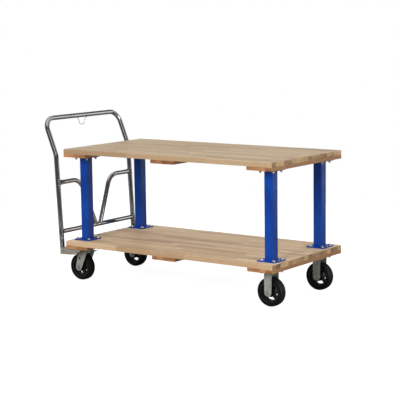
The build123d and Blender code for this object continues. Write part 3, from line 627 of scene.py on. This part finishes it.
# %% A closed skin from a grid of points
def closed_skin(name, grid, finish, body, slot):
    """Quads between neighbouring grid points, both ways round, turned so that they face outwards."""
    rows, columns = grid.shape[:2]
    row, column = np.meshgrid(np.arange(rows), np.arange(columns), indexing="ij")
    next_row = (row + 1) % rows
    next_column = (column + 1) % columns
    quads = np.stack([row * columns + column, next_row * columns + column,
                      next_row * columns + next_column, row * columns + next_column], -1).reshape(-1, 4)
    points = grid.reshape(-1, 3)
    corner = points[quads]
    cross = np.cross(corner[:, 2] - corner[:, 0], corner[:, 3] - corner[:, 1])
    volume = (corner.mean(1) * cross).sum() / 6
    quads = quads[:, ::-1] if volume < 0 else quads
    mesh = bpy.data.meshes.new(name)
    mesh.from_pydata(points.tolist(), [], quads.tolist())
    mesh.polygons.foreach_set("use_smooth", np.ones(len(quads), bool))
    mesh.materials.append(finish)
    skin = bpy.data.objects.new(name, mesh)
    bpy.context.scene.collection.objects.link(skin)
    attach(skin, body)
    return skin, quads


def carried(path, outward, upward, outline):
    """An outline carried along a path: path point plus a times outward plus b times upward."""
    return path[:, None, :] + outline[..., :1] * outward[:, None, :] + outline[..., 1:] * upward[:, None, :]


print("helpers ready:", closed_skin.__name__, "and", carried.__name__)

# %% [markdown]
# ## Weld beads
# A weld is laid as a row of small overlapping puddles, so its surface is a fillet with a ripple in
# it. The outline is a quarter of a rounded bulge between the two metals, plus a point buried in the
# corner where they meet, and the ripple swells it by a tenth at each puddle.

# %% The bead's outline and ripple
weld_points = 7
bulge_power = 0.85
puddle_pitch = 0.0032
puddle_swell = 0.10
root_depth = 0.0006


def bead_outline(leg, path):
    """A quarter arc of radius leg plus its buried root, swelled by a sine along the path.

    Raising the arc's cosine and sine to a power below one pushes its middle outwards.
    """
    turn = np.linspace(0, math.pi / 2, weld_points)
    bulge = np.stack([np.cos(turn), np.sin(turn)], -1) ** bulge_power * leg
    arc = np.concatenate([[(leg, -root_depth)], bulge, [(-root_depth, leg), (-root_depth, -root_depth)]])
    step = np.linalg.norm(np.diff(path, axis=0, append=path[:1]), axis=1)
    length = step.sum()
    puddles = round(length / puddle_pitch)
    phase = np.cumsum(step) / length * full_turn * puddles
    swell = 1 + puddle_swell * np.abs(np.sin(phase / 2))
    return arc[None] * swell[:, None, None]


print("a puddle every", puddle_pitch * 1000, "mm")

# %% [markdown]
# ## Beads round the posts
# Each square post is welded to a plate at both ends. The bead's path is the post's own outline, a
# square with rounded corners. One formula gives it: walk round a circle for the direction, and let
# each corner's quarter circle be joined to the next by a straight side.

# %% A rounded square path
corner_radius = 0.005
side_points = 28
corner_points = 8


def rounded_square(half, radius):
    """Four quarter circles whose centres sit at half minus radius, joined by straight sides.

    Returns the points and their outward directions, evenly spaced along each side.
    """
    quarter = np.linspace(0, math.pi / 2, corner_points)
    turns = np.concatenate([np.concatenate([quarter + math.pi / 2 * k,
                                            np.full(side_points, math.pi / 2 * (k + 1))])
                            for k in range(4)])
    outward = np.stack([np.cos(turns), np.sin(turns)], -1)
    corner_turns = math.pi / 4 + math.pi / 2 * np.arange(4)
    corners = np.sign(np.stack([np.cos(corner_turns), np.sin(corner_turns)], -1))
    centres = corners * (half - radius)
    share = np.linspace(0, 1, side_points + 2)[1:-1, None]
    path = np.concatenate([np.concatenate([np.repeat(centres[k:k + 1], corner_points, 0),
                                           centres[k] * (1 - share) + centres[(k + 1) % 4] * share])
                           for k in range(4)])
    return path + outward * radius, outward


post_bead_leg = 0.0045
bead_count = 0
for corner_name in ("rear_left", "rear_right", "front_left", "front_right"):
    post_low, post_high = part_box("post_" + corner_name)
    middle = np.array([(post_low.x + post_high.x) / 2, (post_low.y + post_high.y) / 2])
    flat_path, flat_out = rounded_square((post_high.x - post_low.x) / 2, corner_radius)
    for end_name, level, rise in (("foot", post_low.z, 1.0), ("head", post_high.z, -1.0)):
        path = np.column_stack([flat_path + middle, np.full(len(flat_path), level)])
        outward = np.column_stack([flat_out, np.zeros(len(flat_path))])
        upward = np.tile((0.0, 0.0, rise), (len(path), 1))
        grid = carried(path, outward, upward, bead_outline(post_bead_leg, path))
        bead, _ = closed_skin(f"post_{end_name}_bead_{corner_name}", grid, finishes["blue_powder_coat"],
                              "cart", "blue_powder_coat")
        bead_count += 1
print("post beads:", bead_count, "with", len(bead.data.polygons), "faces each")

# %% [markdown]
# ## Beads on the handle
# Where a round tube meets the side of another, the joint is a saddle-shaped curve. It need not be
# found by cutting meshes. Walk round the smaller tube by an angle. Its two crossing components are
# the tube's half height times the cosine and its half width times the sine. The larger tube's
# surface stands off its own axis by the square root of its radius squared minus the second
# component squared, and that gives the third coordinate directly. The flattened brace ends use the
# same formula, with an oval in place of a circle.

# %% Saddle paths on the uprights
lean_up = np.array([-math.sin(upright_lean), 0.0, math.cos(upright_lean)])
lean_out = np.array([math.cos(upright_lean), 0.0, math.sin(upright_lean)])
saddle_points = 96
weld_turn = np.linspace(0, full_turn, saddle_points, endpoint=False)


def saddle(centre, side, half_height, half_width):
    """The curve where an oval tube, lying across the truck, meets the round upright on one side."""
    high = half_height * np.cos(weld_turn)[:, None] * lean_up
    wide = half_width * np.sin(weld_turn)[:, None] * lean_out
    stand_off = np.sqrt(tube_radius ** 2 - (half_width * np.sin(weld_turn)) ** 2)
    path = centre + high + wide
    path[:, 1] = side * (upright_y - stand_off)
    outward_up = np.cos(weld_turn)[:, None] * lean_up * half_width
    outward_out = np.sin(weld_turn)[:, None] * lean_out * half_height
    outward = outward_up + outward_out
    outward = outward / np.linalg.norm(outward, axis=1, keepdims=True)
    inward = np.tile((0.0, -side, 0.0), (saddle_points, 1))
    return path, outward, inward


handle_bead_leg = 0.0028
handle_joints = (("cross", np.array([cross_x, 0, cross_z]), cross_radius, cross_radius),
                 ("brace", np.array([brace_x, 0, brace_z]), flat_half_height, flat_half_width))
for side_name, side in (("left", 1.0), ("right", -1.0)):
    for joint_name, centre, half_height, half_width in handle_joints:
        path, outward, inward = saddle(centre, side, half_height, half_width)
        grid = carried(path, outward, inward, bead_outline(handle_bead_leg, path))
        closed_skin(f"{joint_name}_end_bead_{side_name}", grid, finishes["bright_tube"],
                    "cart", "bright_tube")
print("saddle beads:", 2 * len(handle_joints), "on uprights", round(2 * upright_y, 4), "m apart")

# %% [markdown]
# ## Beads at the foot of the braces
# The sloping leg of each brace stands on the cross tube, and both tubes have the same radius. Two
# equal tubes cross in a flat curve: at the angle t round the leg, the joint stands off the cross
# tube's axis by the radius times the size of cos t. Sliding along the leg until it has that height
# gives every point of the joint in one step.

# %% Leg paths on the cross tube
leg_foot_y = 0.017
leg_head_y = 0.133
leg_foot_height = 0.0436
leg_head_height = 0.319
leg_slope = math.atan2(leg_head_y - leg_foot_y, (leg_head_height - leg_foot_height) / math.cos(upright_lean))


def leg_joint(side):
    """The curve where a brace's leg lands on the cross tube, with its outward and upward arrows."""
    leg_up = math.cos(leg_slope) * lean_up + math.sin(leg_slope) * side * np.array([0.0, 1.0, 0.0])
    leg_across = math.cos(leg_slope) * side * np.array([0.0, 1.0, 0.0]) - math.sin(leg_slope) * lean_up
    ring = cross_radius * (np.cos(weld_turn)[:, None] * leg_across + np.sin(weld_turn)[:, None] * lean_out)
    needed = cross_radius * np.abs(np.cos(weld_turn))
    slide = (needed - ring @ lean_up) / (leg_up @ lean_up)
    foot = np.array([cross_x, side * leg_foot_y, cross_z])
    return foot + ring + slide[:, None] * leg_up, ring / cross_radius, np.tile(leg_up, (saddle_points, 1))


leg_bead_leg = 0.0024
for side_name, side in (("left", 1.0), ("right", -1.0)):
    path, outward, upward = leg_joint(side)
    grid = carried(path, outward, upward, bead_outline(leg_bead_leg, path))
    closed_skin(f"brace_foot_bead_{side_name}", grid, finishes["bright_tube"], "cart", "bright_tube")
print("leg slope from upright, in degrees:", round(math.degrees(leg_slope), 1))

# %% [markdown]
# ## Tyres
# A moulded tyre is more than a rounded ring. The tread is slightly crowned, a fine line runs round
# its middle where the two halves of the mould met, the walls are sunk a little inside a raised
# band, and the rubber flares out over the rim. All of that is one outline in two numbers, the place
# across the wheel and the distance from the axle, turned once round the axle. We write half of the
# outline from the middle of the tread to the bore, mirror it, and carry it round.

# %% The tyre's outline
rim_half_width = 0.021
bore_radius = 0.057
flare_height = 0.004
shoulder = 0.014
crown_drop = 0.0004
mould_line = 0.0007
wall_sink = 0.0006
lip_inset = 0.0004
turns_round = 144


def half_outline(radius, half_width):
    """Across and outward places from the tread's middle to the bore, plus how much of each is tread.

    The crown drops by the square of the distance across. The shoulder is a quarter circle, and the
    wall sinks by the root of half a sine. The tread mark is 1 in the middle, 0.7 at the tread's edge
    and less over the shoulder.
    """
    tread_edge = half_width - shoulder
    across = np.concatenate([[0.0, mould_line], np.linspace(2 * mould_line, tread_edge, 6)])
    crown = radius - mould_line / 3 - crown_drop * (across / tread_edge) ** 2
    crown[0] = radius
    turn = np.linspace(0, math.pi / 2, 13)[1:]
    low_crown = crown[-1]
    shoulder_across = tread_edge + shoulder * np.sin(turn)
    shoulder_out = low_crown - shoulder * (1 - np.cos(turn))
    flare_out = bore_radius + flare_height
    wall_top = shoulder_out[-1]
    share = np.linspace(0, 1, 9)[1:-1]
    wall_out = wall_top + (flare_out - wall_top) * share
    wall_across = half_width - wall_sink * np.sin(math.pi * share) ** 0.5
    rim_out = np.array([flare_out, flare_out - flare_height * 0.45, bore_radius])
    rim_across = np.array([half_width - lip_inset, half_width - flare_height * 0.55, rim_half_width])
    outline = np.stack([np.concatenate([across, shoulder_across, wall_across, rim_across]),
                        np.concatenate([crown, shoulder_out, wall_out, rim_out])], -1)
    tread = np.clip(1.4 - outline[:, 0] / tread_edge * 0.7, 0, 1)
    return outline, np.where(outline[:, 1] > radius - shoulder * 0.6, tread, 0.0)


def make_tyre(place):
    """Turns the mirrored outline round the axle and writes its UV map and its tread attribute."""
    low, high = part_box("tyre_" + place)
    middle = (low + high) / 2
    half, tread_half = half_outline((high.z - low.z) / 2, (high.y - low.y) / 2)
    outline = np.concatenate([half, (half * (-1, 1))[:0:-1]])
    tread = np.concatenate([tread_half, tread_half[:0:-1]])
    angle = np.linspace(0, full_turn, turns_round, endpoint=False)
    rays = np.stack([np.cos(angle), np.zeros(turns_round), np.sin(angle)], -1)
    grid = np.array(middle) + outline[None, :, 1:] * rays[:, None, :]
    grid[..., 1] = middle.y + outline[None, :, 0]
    body = "wheel_" + place
    tyre, quads = closed_skin("moulded_tyre_" + place, grid, finishes["tyre_rubber"], body, "tyre_rubber")
    columns = len(outline)
    step = np.linalg.norm(np.diff(outline, axis=0), axis=1)
    run = np.concatenate([[0.0], np.cumsum(step)])
    row, column = quads // columns, quads % columns
    row = np.where((row.max(1, keepdims=True) == turns_round - 1) & (row == 0), turns_round, row)
    around = row * (full_turn * outline[0, 1] / turns_round)
    uv = np.stack([around, run[column]], -1)
    tyre.data.uv_layers.new(name="wrap").data.foreach_set("uv", uv.astype(np.float32).ravel())
    tread_mark = tyre.data.attributes.new("tread", "FLOAT", "POINT")
    tread_mark.data.foreach_set("value", np.tile(tread, turns_round).astype(np.float32))
    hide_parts("tyre_" + place)
    return tyre


for wheel_place in ("rear_left", "rear_right", "front_left", "front_right"):
    tyre = make_tyre(wheel_place)
print("tyre faces:", len(tyre.data.polygons), "box:", [round(x, 4) for x in tyre.dimensions])

# %% [markdown]
# ## Measure
# The last look is with a ruler. The box of everything that shows must stay inside the workshop's
# box, so we print the largest difference between the two.

# %% Measure how far the two boxes differ
new_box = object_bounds()
growth = max(max(abs(a - b) for a, b in zip(old, new)) for old, new in zip(cad_box, new_box))
print("largest difference between the two boxes:", round(growth * 1000, 3), "mm")
